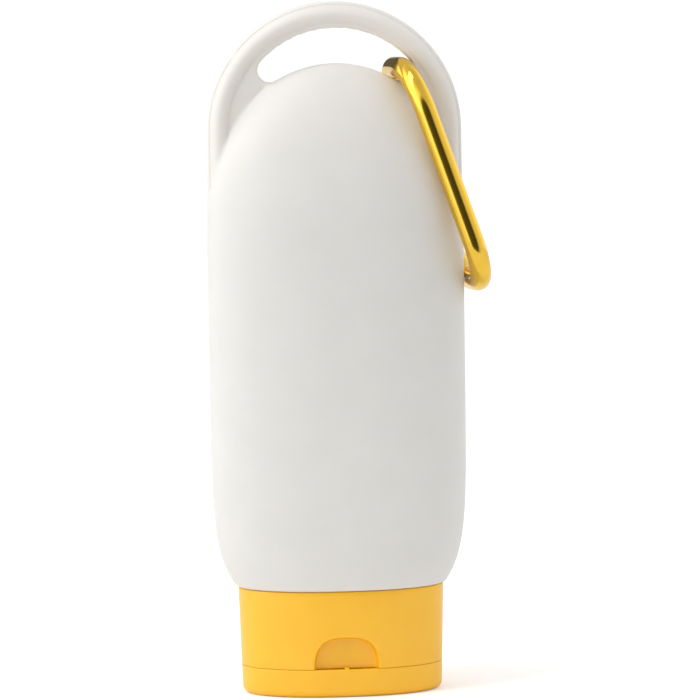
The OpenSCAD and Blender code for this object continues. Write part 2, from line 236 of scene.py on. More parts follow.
def outerLine(z):
    # Half width of the silhouette below the arch's centre
    b = bottleSize
    straight = bottleHalf(np.minimum(z, b["domeSpring"]))[0]
    return straight + (b["archRadius"] - b["width"] / 2) * smoothStep(b["armLow"], b["armHigh"], z)


def holeRadii(angle):
    # Where a ray from the arch's centre enters and leaves the crescent hole
    b = bottleSize
    side = np.abs(np.degrees(angle) - 90)
    reach = b["holeInner"] - b["holeCorner"]
    cornerSide = 90 - b["holeCornerAngle"]
    offset = np.radians(side - cornerSide)
    half = np.sqrt(np.clip(b["holeCorner"] ** 2 - (reach * np.sin(offset)) ** 2, 0, None))
    upper = np.where(side < cornerSide, b["holeInner"], reach * np.cos(offset) + half)
    cornerX = reach * math.sin(math.radians(cornerSide))
    cornerZ = b["archZ"] + reach * math.cos(math.radians(cornerSide))
    lowAngle = math.radians(b["holeLowAngle"])
    lowX = cornerX - b["holeCorner"] * math.sin(lowAngle)
    lowZ = cornerZ - b["holeCorner"] * math.cos(lowAngle)
    lower = reach * np.cos(offset) - half
    for k, a in enumerate(angle):
        direction = np.array([abs(math.cos(a)), math.sin(a)])
        r = np.linspace(2, b["holeInner"], 700)
        x, z = r * direction[0], b["archZ"] + r * direction[1]
        edge = b["holeLowZ"] - (b["holeLowZ"] - lowZ) * (x / lowX) ** 2
        above = (z > edge) & (x < lowX)
        if above.any():
            lower[k] = min(lower[k], r[above][0]) if half[k] > 0 else r[above][0]
    return upper, lower


def thickness(x, z, fromEdge):
    # Half thickness of the bottle, front to back
    b = bottleSize
    width, depth = bottleHalf(z)
    p = b["squareness"]
    body = depth * np.clip(1 - np.abs(x / width) ** p, 0, None) ** (1 / p)
    ridge = (fromEdge - b["ridgeMiddle"]) / b["ridgeHalfWidth"]
    bulge = np.sqrt(np.clip(1 - ridge ** 2, 0, 1))
    band = b["flangeHalf"] + (b["ridgeHalf"] - b["flangeHalf"]) * bulge
    sunk = smoothStep(b["webStart"], b["webFull"], fromEdge)
    web = b["flangeHalf"] + (b["webHalf"] - b["flangeHalf"]) * sunk
    rim = smoothMax(band, web, b["bandBlend"]) * smoothStep(b["rimLow"], b["rimHigh"], z)
    return smoothMax(body, rim, b["domeBlend"]) * roundOff(fromEdge / b["edgeRound"])


def edgeSpaced(length, start, growth, largest):
    # Distances from an edge that start small and grow to an even step
    out, step = [0.0], start
    while out[-1] + step < length:
        out.append(out[-1] + step)
        step = min(step * growth, largest)
    return np.array(out)


def makeBottle():
    b = bottleSize
    band = b["archRadius"] - b["holeInner"]
    steps = edgeSpaced(band / 2, 0.02, 1.45, 0.2)
    outward = np.concatenate([steps, [band / 2], (band - steps)[::-1]]) / band
    inwardLength = 15.0
    inward = np.append(edgeSpaced(inwardLength - 0.4, 0.02, 1.4, 0.5), inwardLength) / inwardLength
    split = math.sqrt((b["holeInner"] - b["holeCorner"]) ** 2 - b["holeCorner"] ** 2)
    holeEnd = 90 - (90 - b["holeCornerAngle"]) - math.degrees(
        math.asin(b["holeCorner"] / (b["holeInner"] - b["holeCorner"])))
    eased = np.linspace(0, 1, 64)
    over = holeEnd + (90 - holeEnd) * (1 - np.cos(eased * np.pi / 2))
    under = holeEnd * np.sin(np.linspace(0, 1, 30)[:-1] * np.pi / 2)
    quarter = np.concatenate([under, over])
    angles = np.radians(np.concatenate([quarter, (180 - quarter[:-1])[::-1]]))
    upper, lower = holeRadii(angles)
    turned = np.degrees(angles)
    inHole = (turned > holeEnd - 1e-6) & (turned < 180 - holeEnd + 1e-6)
    upper = np.where(inHole, upper, split)
    lower = np.where(inHole, lower, split)
    waver = sum(np.sin(turned * k + 1.7 * k) / (1 + 0.4 * n)
                for n, k in enumerate((0.9, 1.7, 2.9, 4.3)))
    trim = (smoothStep(b["trimStart"], b["trimFull"], turned)
            * smoothStep(b["trimStart"], b["trimFull"], 180 - turned))
    upper = upper + b["trimWaver"] * waver / 2 * trim * inHole

    outlineAngles = angles[inHole]
    outline = np.concatenate([
        np.stack([edge[inHole] * np.cos(outlineAngles),
                  b["archZ"] + edge[inHole] * np.sin(outlineAngles)], 1)
        for edge in (upper, lower)])

    radii = np.concatenate([b["archRadius"] - np.outer(b["archRadius"] - upper, outward),
                            lower[:, None] * (1 - inward)[None, :]], 1)
    arcX = radii * np.cos(angles)[:, None]
    arcZ = b["archZ"] + radii * np.sin(angles)[:, None]
    arcX = arcX + b["holeShift"] * (smoothStep(0, b["shiftFade"], b["archRadius"] - radii)
                                    * smoothStep(b["archZ"], b["archZ"] + b["shiftRise"], arcZ))
    arcEdge = b["archRadius"] - np.hypot(arcX, arcZ - b["archZ"])
    outline[:, 0] += b["holeShift"]

    share = np.concatenate([outward * (1 - split / b["archRadius"]),
                            1 - (1 - inward) * split / b["archRadius"]])
    footRise = b["footEdge"] * (1 - np.cos(np.linspace(0, np.pi / 2, 7)))
    heights = np.concatenate([
        b["footZ"] + footRise,
        b["footZ"] + b["footEdge"] + np.linspace(0, 1, 30)[1:] ** 1.4 * 12,
        np.linspace(b["footZ"] + b["footEdge"] + 12, b["domeSpring"] - 6, 26)[1:],
        np.linspace(b["domeSpring"] - 6, b["archZ"], 38)[1:]])
    outer = outerLine(heights)
    sideX = outer[:, None] * (1 - share)[None, :]
    sideZ = np.repeat(heights[:, None], len(share), 1)
    sideEdge = outer[:, None] * share[None, :]

    x = np.concatenate([sideX, arcX[1:-1], -sideX[::-1]])
    z = np.concatenate([sideZ, arcZ[1:-1], sideZ[::-1]])
    fromEdge = np.concatenate([sideEdge, arcEdge[1:-1], sideEdge[::-1]])
    half = thickness(x, z, fromEdge)
    gap = np.full(x.shape, np.inf)
    around = (z > b["archZ"] + 2) & (np.abs(x) < 17)
    flat = np.stack([x[around], z[around]], 1)
    gap[around] = np.sqrt(((flat[:, None, :] - outline[None, :, :]) ** 2).sum(2).min(1))
    half = half * roundOff(gap / b["holeEdge"])
    half[:, 0] = 0
    first, last = len(heights), len(heights) + len(angles) - 2
    for row, hole in zip(range(first - 1, last + 1), inHole):
        if hole:
            half[row, len(outward) - 1] = half[row, len(outward)] = 0

    rows, columns = x.shape
    faces = gridFaces(rows, columns, skipColumn=len(outward) - 1)
    patches = [(np.stack([x, side * half, z], 2), faces) for side in (-1, 1)]

    # Foot, neck and cavity follow on from the lowest ring
    ringX = np.concatenate([sideX[0], -sideX[0][::-1][1:]])
    ringHalf = np.concatenate([half[0], half[0][::-1][1:]])
    ringX = np.concatenate([ringX, ringX[::-1][1:-1]])
    ringY = np.concatenate([-ringHalf, ringHalf[::-1][1:-1]])
    width, depth = ringX.max(), ringHalf.max()
    turn = np.arctan2(np.sign(ringY) * np.abs(ringY / depth) ** (b["squareness"] / 2),
                      np.sign(ringX) * np.abs(ringX / width) ** (b["squareness"] / 2))

    def level(px, py, height):
        return np.stack([px, py, np.full(len(turn), height)], 1)

    def circle(r, height):
        return level(r * np.cos(turn), r * np.sin(turn), height)

    rings = [level(ringX, ringY, b["footZ"])]
    rings += [circle(b["neckRadius"] + b["beadHeight"] * s, height) for s, height in (
        (0, b["footZ"]), (0, b["beadZ"] + 1), (1, b["beadZ"] + 0.3), (1, b["beadZ"] - 0.3),
        (0, b["beadZ"] - 1), (0, b["neckRim"] + 0.2), (-0.4, b["neckRim"]))]
    rings += [circle(b["neckBore"] + 0.2, b["neckRim"]), circle(b["neckBore"], b["neckRim"] + 0.2),
              circle(b["neckBore"], b["footZ"] + b["floor"])]
    domeIn = b["holeLowZ"] - b["domeWall"] - b["domeSpring"]
    low = b["footZ"] + b["floor"]
    for height in low + np.array([0, 0.6, 1.5, 2.8, 4.6, 7, 10, 15, 22, 32, 44, 59.4]):
        w, d = bottleHalf(np.array(height))
        px, py = ovalPoint(turn, w - b["wall"], d - b["wall"], b["squareness"])
        rings.append(level(px, py, height))
    for a in np.radians((10, 20, 30, 40, 50, 60, 70, 80, 89.9)):
        px, py = ovalPoint(turn, (b["width"] / 2 - b["wall"]) * math.cos(a),
                           (b["depth"] / 2 - b["wall"]) * math.cos(a), b["squareness"])
        rings.append(level(px, py, b["domeSpring"] + domeIn * math.sin(a)))
    rings.append(np.tile([0, 0, b["domeSpring"] + domeIn], (len(turn), 1)))
    patches.append((np.array(rings), gridFaces(len(rings), len(turn), ring=True)))
    mesh = weld(meshFrom("bottle_skin", patches))
    return settle("bottle_skin", mesh, "root", "bottlePlastic", ["bottle"], 50)


makeBottle()
print("bottle made")


# Closure and its lid, in millimetres
closureSize = {
    "halfWidth": 17.45, "halfDepth": 10.25, "top": 18.1, "taper": 0.5, "squareness": 2.2,
    "wall": 1.2, "lidTop": 4.79, "deck": 4.83, "deckTop": 6.25, "topEdge": 0.32, "seamEdge": 0.14,
    "ringInner": 7.1, "ringWall": 1.1, "ringTop": 15.45, "grooveZ": 13.25, "grooveDepth": 0.5,
    "orifice": 2.3, "nozzleTip": 2.45, "nozzleTipRadius": 3.5, "nozzleRadius": 3.9,
    "recessHalf": 5.5, "recessHeight": 5.45, "recessPower": 2.7, "recessY": -8.25,
    "recessRim": 0.22, "recessFillet": 0.5, "recessDraft": 0.25,
    "padY": -7.05, "padHalf": 6.7, "padFlatHalf": 6.2, "padFlatTop": 11.1, "padTop": 11.9,
    "filmHalf": 5.5, "filmFlatY": 9.3, "filmFlatHalf": 5.6, "filmLow": 3.0, "filmHigh": 6.55,
    "filmTall": 1.7, "filmThick": 0.4, "foldThin": 0.14, "foldTall": 0.35,
    "filmEndThin": 0.1, "filmEndTall": 0.15,
    "lidEdge": 1.2, "lidFloor": 1.3, "plugRadius": 2.15, "plugTop": 2.8, "plugTip": 4.0,
    "plugTipRadius": 1.6, "nubWide": 0.8, "nubDeep": 0.6, "nubHigh": 0.4, "hingeZ": 4.775,
}
# Columns that all rings share: past the recess in front, and close to both ends of the film's flat
sharedHalf = 7
frontX = np.linspace(-sharedHalf, sharedHalf, 41)
backX = np.concatenate([np.linspace(sharedHalf, 5.62, 5), np.linspace(5.58, -5.58, 33),
                        np.linspace(-5.62, -sharedHalf, 5)])


def closureHalf(z, inset=0.0):
    c = closureSize
    drawIn = c["taper"] * (1 - z / c["top"]) + inset
    return c["halfWidth"] - drawIn, c["halfDepth"] - drawIn


def ovalY(x, halfWidth, halfDepth):
    p = closureSize["squareness"]
    return halfDepth * np.clip(1 - np.abs(x / halfWidth) ** p, 0, None) ** (1 / p)


def closureFront(x, z, inset=0.0):
    # The outer wall's front, as the rings make it
    return -ovalY(x, *closureHalf(z, inset))


def closureRing(z, inset=0.0, flatFrom=None, flatTo=None):
    # One ring of points: front, right side, back and left side
    c = closureSize
    halfWidth, halfDepth = closureHalf(z, inset)
    start = math.acos((frontX[-1] / halfWidth) ** (c["squareness"] / 2))
    side = np.linspace(-start, start, 62)[1:-1]
    sideX, sideY = ovalPoint(side, halfWidth, halfDepth, c["squareness"])
    frontY = closureFront(frontX, z, inset)
    backY = ovalY(backX, halfWidth, halfDepth)
    if flatFrom is not None and flatFrom <= z <= flatTo:
        backY = np.where(np.abs(backX) < c["filmFlatHalf"],
                         np.minimum(backY, c["filmFlatY"]), backY)
    x = np.concatenate([frontX, sideX, backX, -sideX[::-1]])
    y = np.concatenate([frontY, sideY, backY, sideY[::-1]])
    return np.stack([x, y, np.full(len(x), z)], 1)


def roundRing(radius, z):
    # A circle whose points face those of the oval rings
    c = closureSize
    reference = closureRing(c["top"])
    turn = np.arctan2(reference[:, 1] / c["halfDepth"], reference[:, 0] / c["halfWidth"])
    return np.stack([radius * np.cos(turn), radius * np.sin(turn), np.full(len(turn), z)], 1)


def seamInset(z, low):
    e = closureSize["seamEdge"]
    return e * (1 - roundOff((z - low) / e))


def makeClosureBase():
    c = closureSize
    patchTop = 12.0
    low = c["deck"]
    edge = low + c["seamEdge"] * (1 - np.cos(np.linspace(0, np.pi / 2, 5)))
    aboveFilm = c["filmHigh"] + 0.04
    lowRows = np.concatenate([edge, np.linspace(edge[-1], c["filmHigh"], 4)[1:], [aboveFilm],
                              np.linspace(aboveFilm, patchTop, 14)[1:]])
    outer = [closureRing(z, seamInset(z, low), low, c["filmHigh"]) for z in lowRows]
    frontRows = len(outer)
    outer += [closureRing(z) for z in np.linspace(patchTop, c["top"] - c["topEdge"], 12)[1:]]
    for a in np.linspace(0, np.pi / 2, 8)[1:]:
        outer.append(closureRing(c["top"] - c["topEdge"] * (1 - math.sin(a)),
                                 c["topEdge"] * (1 - math.cos(a))))
    inner = [closureRing(c["top"], c["wall"] - 0.2), closureRing(c["top"] - 0.2, c["wall"])]
    for z in np.linspace(c["top"] - 1.5, c["deckTop"], 16):
        # Behind the recess the wall's inside stands back as a flat pad
        ring = closureRing(z, c["wall"])
        across = np.abs(ring[:, 0])
        padded = (ring[:, 1] < c["padY"]) & (across < sharedHalf + 0.01)
        hold = np.maximum(smoothStep(c["padFlatTop"], c["padTop"], z),
                          smoothStep(c["padFlatHalf"], c["padHalf"], across))
        ring[padded, 1] = (c["padY"] + (ring[:, 1] - c["padY"]) * hold)[padded]
        inner.append(ring)
    ringOut = c["ringInner"] + c["ringWall"]
    middle = [roundRing(r, z) for r, z in (
        (ringOut, c["deckTop"]), (ringOut, c["ringTop"] - 0.25), (ringOut - 0.25, c["ringTop"]),
        (c["ringInner"] + 0.35, c["ringTop"]), (c["ringInner"], c["ringTop"] - 0.35),
        (c["ringInner"], c["grooveZ"] + 1), (c["ringInner"] + c["grooveDepth"], c["grooveZ"] + 0.3),
        (c["ringInner"] + c["grooveDepth"], c["grooveZ"] - 0.3), (c["ringInner"], c["grooveZ"] - 1),
        (c["ringInner"], c["deckTop"]), (c["orifice"] + 0.3, c["deckTop"]),
        (c["orifice"], c["deckTop"] - 0.3), (c["orifice"], c["nozzleTip"] + 0.2),
        (c["orifice"] + 0.2, c["nozzleTip"]), (c["nozzleTipRadius"] - 0.25, c["nozzleTip"]),
        (c["nozzleTipRadius"], c["nozzleTip"] + 0.25), (c["nozzleRadius"], c["deck"]))]
    rings = np.array(outer + inner + middle)
    count = rings.shape[1]

    def inFront(i, j):
        return i < frontRows - 1 and j < len(frontX) - 1

    patches = [(rings, gridFaces(len(rings), count, ring=True, skip=inFront))]

    # The thumb recess: rays from the middle of its foot to the edge of the skipped patch
    sideZ = lowRows - low
    edgeX = np.concatenate([np.full(frontRows, frontX[-1]), frontX[::-1][1:-1],
                            np.full(frontRows, frontX[0])])
    edgeZ = np.concatenate([sideZ, np.full(len(frontX) - 2, sideZ[-1]), sideZ[::-1]])
    n = c["recessPower"]
    spread = (np.abs(edgeX) / c["recessHalf"]) ** n + (edgeZ / c["recessHeight"]) ** n
    reach = 1 / spread ** (1 / n)
    lineX, lineZ = edgeX * reach, edgeZ * reach
    length = np.hypot(lineX, lineZ)
    outX, outZ = lineX / length, lineZ / length
    rim, fillet = c["recessRim"], c["recessFillet"]
    rows = []
    for u in np.linspace(0, 1, 9):
        x = edgeX + (lineX + outX * rim - edgeX) * u
        z = low + edgeZ + (lineZ + outZ * rim - edgeZ) * u
        rows.append(np.stack([x, closureFront(x, z, seamInset(z, low)), z], 1))
    for a in np.linspace(0, np.pi / 2, 6)[1:]:
        x = lineX + outX * rim * (1 - math.sin(a))
        z = low + lineZ + outZ * rim * (1 - math.sin(a))
        y = closureFront(x, z, seamInset(z, low)) + rim * (1 - math.cos(a))
        rows.append(np.stack([x, y, z], 1))
    wallTop = rows[-1][:, 1]
    for u in (0.5, 1.0):
        x = lineX - outX * c["recessDraft"] * u
        z = low + (lineZ - outZ * c["recessDraft"] * u)
        rows.append(np.stack([x, wallTop + (c["recessY"] - fillet - wallTop) * u, z], 1))
    inset = c["recessDraft"]
    for a in np.linspace(0, np.pi / 2, 6)[1:]:
        back = inset + fillet * (1 - math.cos(a))
        y = np.full(len(lineX), c["recessY"] - fillet * (1 - math.sin(a)))
        rows.append(np.stack([lineX - outX * back, y, low + lineZ - outZ * back], 1))
    last = rows[-1]
    for u in (0.25, 0.5, 0.75, 1.0):
        z = low + (last[:, 2] - low) * (1 - u)
        rows.append(np.stack([last[:, 0] * (1 - u), last[:, 1], z], 1))
    patches.append((np.array(rows), gridFaces(len(rows), len(edgeX))))
    mesh = weld(meshFrom("closure_skin", patches))

    # The deck's underside closes the loops that are still open
    work = bmesh.new()
    work.from_mesh(mesh)
    rimEdges = [e for e in work.edges if e.is_boundary]
    bmesh.ops.triangle_fill(work, use_beauty=True, edges=rimEdges)
    bmesh.ops.recalc_face_normals(work, faces=work.faces)
    work.to_mesh(mesh)
    work.free()
    settle("closure_skin", mesh, "root", "closurePlastic", ["closure_base"], 40)


def makeLid():
    c = closureSize
    rings = []
    for u in (0, 0.35, 0.7):
        ring = closureRing(0, c["lidEdge"])
        rings.append(ring * [u, u, 1])
    for a in np.linspace(0, np.pi / 2, 9):
        z = c["lidEdge"] * (1 - math.cos(a))
        rings.append(closureRing(z, c["lidEdge"] * (1 - math.sin(a))))
    top = c["lidTop"]
    e = c["seamEdge"]
    for z in np.concatenate([np.linspace(c["lidEdge"], c["filmLow"], 5)[1:], [c["filmLow"] + 0.04],
                             np.linspace(c["filmLow"] + 0.04, top - e, 4)[1:]]):
        rings.append(closureRing(z, 0, c["filmLow"] + 0.02, top))
    for a in np.linspace(0, np.pi / 2, 5)[1:]:
        z, inset = top - e * (1 - math.sin(a)), e * (1 - math.cos(a))
        rings.append(closureRing(z, inset, c["filmLow"], top))
    rings += [closureRing(top, c["wall"] - 0.15), closureRing(top - 0.15, c["wall"]),
              closureRing(c["lidFloor"] + 0.4, c["wall"]),
              closureRing(c["lidFloor"] + 0.1, c["wall"] + 0.1),
              closureRing(c["lidFloor"], c["wall"] + 0.4)]
    rings += [roundRing(r, z) for r, z in (
        (c["plugRadius"] + 0.3, c["lidFloor"]), (c["plugRadius"], c["lidFloor"] + 0.3),
        (c["plugRadius"], c["plugTop"]), (c["plugTipRadius"] + 0.1, c["plugTip"] - 0.15),
        (c["plugTipRadius"] - 0.15, c["plugTip"]), (0, c["plugTip"]))]
    patches = [(np.array(rings), gridFaces(len(rings), rings[0].shape[0], ring=True))]
    mesh = weld(meshFrom("lid_skin", patches))
    frontY = closureFront(0, top) + c["wall"] / 2
    addRoundedBox(mesh, (0, frontY, top - 0.2 + c["nubHigh"] / 2),
                  (c["nubWide"], c["nubDeep"], c["nubHigh"] + 0.2), 0.12)
    settle("lid_skin", mesh, "lid", "closurePlastic", ["closure_lid"], 40)


def addRoundedBox(mesh, middle, size, edge):
    work = bmesh.new()
    work.from_mesh(mesh)
    place = Matrix.Translation(Vector(middle) * mm) @ Matrix.Diagonal((*(v * mm for v in size), 1))
    made = bmesh.ops.create_cube(work, size=1, matrix=place)
    edges = list({e for v in made["verts"] for e in v.link_edges})
    bmesh.ops.bevel(work, geom=edges, offset=edge * mm, segments=3, affect="EDGES", profile=0.5)
    work.to_mesh(mesh)
    work.free()


def makeFilm():
    # A strip with a thinned line in its middle, where it folds
    c = closureSize
    middle = c["hingeZ"]
    tall = c["filmTall"]
    heights = np.linspace(-tall, tall, 41)
    thinned = c["foldThin"] * np.exp(-(heights / c["foldTall"]) ** 2)
    ends = c["filmEndThin"] * (1 - roundOff((tall - np.abs(heights)) / c["filmEndTall"]))
    outline = [(c["filmFlatY"], middle + h) for h in heights]
    outline += [(c["filmFlatY"] + c["filmThick"] - t - e, middle + h)
                for h, t, e in zip(heights[::-1], thinned[::-1], ends[::-1])]
    across = np.linspace(-c["filmHalf"], c["filmHalf"], 23)
    grid = np.array([[(x, y, z) for y, z in outline] for x in across])
    faces = gridFaces(len(across), len(outline), ring=True)
    count = len(outline)
    faces.append(tuple(range(count)))
    faces.append(tuple((len(across) - 1) * count + k for k in range(count))[::-1])
    mesh = weld(meshFrom("film_skin", [(grid, faces)]))
    film = settle("film_skin", mesh, None, "closurePlastic", ["hinge_film"], 40)
    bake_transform(film)


makeClosureBase()
makeLid()
makeFilm()
print("closure made")


# Geometry Nodes trees: a wire along a path, a turned part and a coil
def newTree(name, inputs):
    tree = bpy.data.node_groups.new(name, "GeometryNodeTree")
    tree.interface.new_socket("Geometry", in_out="INPUT", socket_type="NodeSocketGeometry")
    for label, value in inputs.items():
        kind = "NodeSocketInt" if isinstance(value, int) else "NodeSocketFloat"
        tree.interface.new_socket(label, in_out="INPUT", socket_type=kind).default_value = value
    tree.interface.new_socket("Material", in_out="INPUT", socket_type="NodeSocketMaterial")
    tree.interface.new_socket("Geometry", in_out="OUTPUT", socket_type="NodeSocketGeometry")
    given = tree.nodes.new("NodeGroupInput")
    return tree, given.outputs


def addNode(tree, kind, inputs=None, **settings):
    node = tree.nodes.new(kind)
    for key, value in settings.items():
        setattr(node, key, value)
    for key, value in (inputs or {}).items():
        if isinstance(value, bpy.types.NodeSocket):
            tree.links.new(value, node.inputs[key])
        else:
            node.inputs[key].default_value = value
    return node.outputs


def endTree(tree, given, geometry):
    real = addNode(tree, "GeometryNodeRealizeInstances", {"Geometry": geometry})
    dressed = addNode(tree, "GeometryNodeSetMaterial", {"Geometry": real[0],
                                                        "Material": given["Material"]})
    out = tree.nodes.new("NodeGroupOutput")
    tree.links.new(dressed[0], out.inputs[0])
    return tree


def makeWireTree():
    tree, given = newTree("wireAlongPath", {"Wire Radius": 0.001, "Bend Radius": 0.005,
                                            "Bend Steps": 12, "Sides": 32})
    path = addNode(tree, "GeometryNodeMeshToCurve", {"Mesh": given["Geometry"]})
    bent = addNode(tree, "GeometryNodeFilletCurve", {
        "Curve": path[0], "Radius": given["Bend Radius"],
        "Count": given["Bend Steps"]}, mode="POLY")
    ring = addNode(tree, "GeometryNodeCurvePrimitiveCircle", {"Resolution": given["Sides"],
                                                              "Radius": given["Wire Radius"]})
    wire = addNode(tree, "GeometryNodeCurveToMesh", {"Curve": bent[0], "Profile Curve": ring[0],
                                                     "Fill Caps": True})
    return endTree(tree, given, wire[0])


def makeTurnedTree():
    # Turns the profile's points, in order, about the Z axis
    tree, given = newTree("turnedPart", {"Columns": 48})
    size = addNode(tree, "GeometryNodeAttributeDomainSize", {"Geometry": given["Geometry"]})
    columns = addNode(tree, "ShaderNodeMath", {0: given["Columns"], 1: 1.0}, operation="ADD")
    grid = addNode(tree, "GeometryNodeMeshGrid", {
        "Size X": 1.0, "Size Y": 1.0, "Vertices X": columns[0], "Vertices Y": size["Point Count"]})
    place = addNode(tree, "GeometryNodeInputPosition")
    flat = addNode(tree, "ShaderNodeSeparateXYZ", {0: place[0]})
    last = addNode(tree, "ShaderNodeMath", {0: size["Point Count"], 1: 1.0}, operation="SUBTRACT")
    up = addNode(tree, "ShaderNodeMath", {0: flat["Y"], 1: 0.5}, operation="ADD")
    row = addNode(tree, "ShaderNodeMath", {0: up[0], 1: last[0]}, operation="MULTIPLY")
    step = addNode(tree, "ShaderNodeMath", {0: row[0]}, operation="ROUND")
    point = addNode(tree, "GeometryNodeSampleIndex", {
        "Geometry": given["Geometry"], "Value": place[0],
        "Index": step[0]}, data_type="FLOAT_VECTOR")
    turn = addNode(tree, "ShaderNodeMath", {0: flat["X"], 1: 2 * math.pi}, operation="MULTIPLY")
    turned = addNode(tree, "ShaderNodeVectorRotate", {"Vector": point[0], "Angle": turn[0]},
                     rotation_type="Z_AXIS")
    moved = addNode(tree, "GeometryNodeSetPosition", {"Geometry": grid[0], "Position": turned[0]})
    closed = addNode(tree, "GeometryNodeMergeByDistance", {"Geometry": moved[0], "Distance": 1e-6})
    return endTree(tree, given, closed[0])


def makeCoilTree():
    tree, given = newTree("coil", {"Curls": 5.0, "Coil Radius": 0.001, "Coil Height": 0.005,
                                   "Wire Radius": 0.0002, "Steps": 24, "Sides": 12})
    line = addNode(tree, "GeometryNodeCurveSpiral", {
        "Resolution": given["Steps"], "Rotations": given["Curls"], "Height": given["Coil Height"],
        "Start Radius": given["Coil Radius"], "End Radius": given["Coil Radius"]})
    ring = addNode(tree, "GeometryNodeCurvePrimitiveCircle", {"Resolution": given["Sides"],
                                                              "Radius": given["Wire Radius"]})
    wire = addNode(tree, "GeometryNodeCurveToMesh", {"Curve": line[0], "Profile Curve": ring[0],
                                                     "Fill Caps": True})
    return endTree(tree, given, wire[0])


def runTree(tree, path, inputs, finishName):
    # Runs a tree on a line of points, in millimetres, and gives the plain mesh
    source = bpy.data.meshes.new(tree.name)
    source.from_pydata([tuple(v * mm for v in point) for point in path],
                       [(k, k + 1) for k in range(len(path) - 1)], [])
    holder = addObject(tree.name, source)
    modifier = holder.modifiers.new("shape", "NODES")
    modifier.node_group = tree
    sockets = {s.name: s.identifier for s in tree.interface.items_tree if s.in_out == "INPUT"}
    for label, value in inputs.items():
        modifier[sockets[label]] = value
    modifier[sockets["Material"]] = finishes[finishName]
    return plainMesh(holder)


def plainMesh(holder):
    # Applies an object's modifiers and removes the object
    evaluated = holder.evaluated_get(bpy.context.evaluated_depsgraph_get())
    mesh = bpy.data.meshes.new_from_object(evaluated)
    holder.modifiers.clear()
    bpy.data.objects.remove(holder)
    return mesh


wireTree, turnedTree, coilTree = makeWireTree(), makeTurnedTree(), makeCoilTree()


def turnedMesh(profile, finishName, columns=64):
    path = [(r, 0, z) for r, z in profile]
    return weld(runTree(turnedTree, path, {"Columns": columns}, finishName))


def cutMesh(mesh, cutters, operation="DIFFERENCE"):
    # Takes the cutters out of a mesh, or joins them to it
    holder = addObject(mesh.name, mesh)
    others = [addObject("cutter", cutter) for cutter in cutters]
    for other in others:
        modifier = holder.modifiers.new("cut", "BOOLEAN")
        modifier.operation, modifier.solver, modifier.object = operation, "EXACT", other
    mesh = plainMesh(holder)
    for other in others:
        bpy.data.objects.remove(other)
    return mesh


def softenEdges(mesh, width, segments=2):
    # Rounds the sharp edges
    holder = addObject(mesh.name, mesh)
    bevel = holder.modifiers.new("soften", "BEVEL")
    bevel.width, bevel.segments, bevel.limit_method = width * mm, segments, "ANGLE"
    bevel.angle_limit, bevel.use_clamp_overlap = math.radians(38), True
    return plainMesh(holder)


def boxMesh(low, high):
    corners = [(x, y, z) for x in (low[0], high[0]) for y in (low[1], high[1])
               for z in (low[2], high[2])]
    faces = [(0, 1, 3, 2), (4, 6, 7, 5), (0, 4, 5, 1), (2, 3, 7, 6), (0, 2, 6, 4), (1, 5, 7, 3)]
    return weld(meshFrom("box", [(np.array(corners), faces)]))


def crossRod(y, s, length, radius, finishName, dome=0.0):
    # A rod along the clip's own X axis
    half = length / 2
    profile = [(0, -half)]
    for a in np.linspace(0, np.pi / 2, 6):
        profile.append((radius * math.sin(a) if dome else radius, -half + dome * (1 - math.cos(a))))
    profile += [(r, -z) for r, z in profile[::-1]]
    mesh = turnedMesh(profile, finishName, 40)
    mesh.transform(Matrix.Translation((0, y * mm, -s * mm)) @ Matrix.Rotation(math.pi / 2, 4, "Y"))
    return mesh


# Clip, in millimetres, in its own frame: s runs down its length from the middle of the top wire
clipSize = {
    "wire": 3.6, "length": 42, "width": 23.6, "bend": 8, "lean": 19.2, "yaw": 7, "shift": 1.3,
    "hookIn": 0.05, "pivot": 10.6, "latch": 27.6, "stubTop": 8.4, "stubEnd": 29.9,
    "gateTop": 8.9, "gateEnd": 29.4, "tongue": 1.2, "tongueWide": 3.0, "tongueEnd": 12.2,
    "noseTongue": 26.8, "slotHalf": 0.72, "slotEnd": 12.95, "noseSlot": 26.4,
    "rivet": 0.6, "rivetHole": 0.66, "latchPin": 0.5, "notch": 0.65, "bore": 0.9, "boreEnd": 21.08,
    "plunger": 0.85, "plungerTop": 12.22, "plungerEnd": 15.22,
    "plungerEdge": 0.12, "plungerNose": 0.4, "pinDome": 0.12, "pinShort": 0.1,
    "springTop": 15.22, "springPitch": 0.78, "springCurls": 7, "springWire": 0.3,
    "springRadius": 0.65, "endRound": 0.3, "soften": 0.07, "rootIn": 0.4,
}
clipLeg = (clipSize["width"] - clipSize["wire"]) / 2


def clipMatrix():
    b, c = bottleSize, clipSize
    reach = b["holeInner"] - b["holeCorner"]
    angle = math.radians(b["holeCornerAngle"])
    yaw, lean = math.radians(c["yaw"]), math.radians(c["lean"])
    aside = c["shift"] * math.sin(yaw)
    x = b["holeShift"] + reach * math.cos(angle) - c["hookIn"] - aside * math.cos(lean)
    z = b["archZ"] + reach * math.sin(angle) - aside * math.sin(lean)
    turn = Matrix.Rotation(-lean, 4, "Y") @ Matrix.Rotation(yaw, 4, "Z")
    return Matrix.Translation(Vector((x, c["shift"], z)) * mm) @ turn


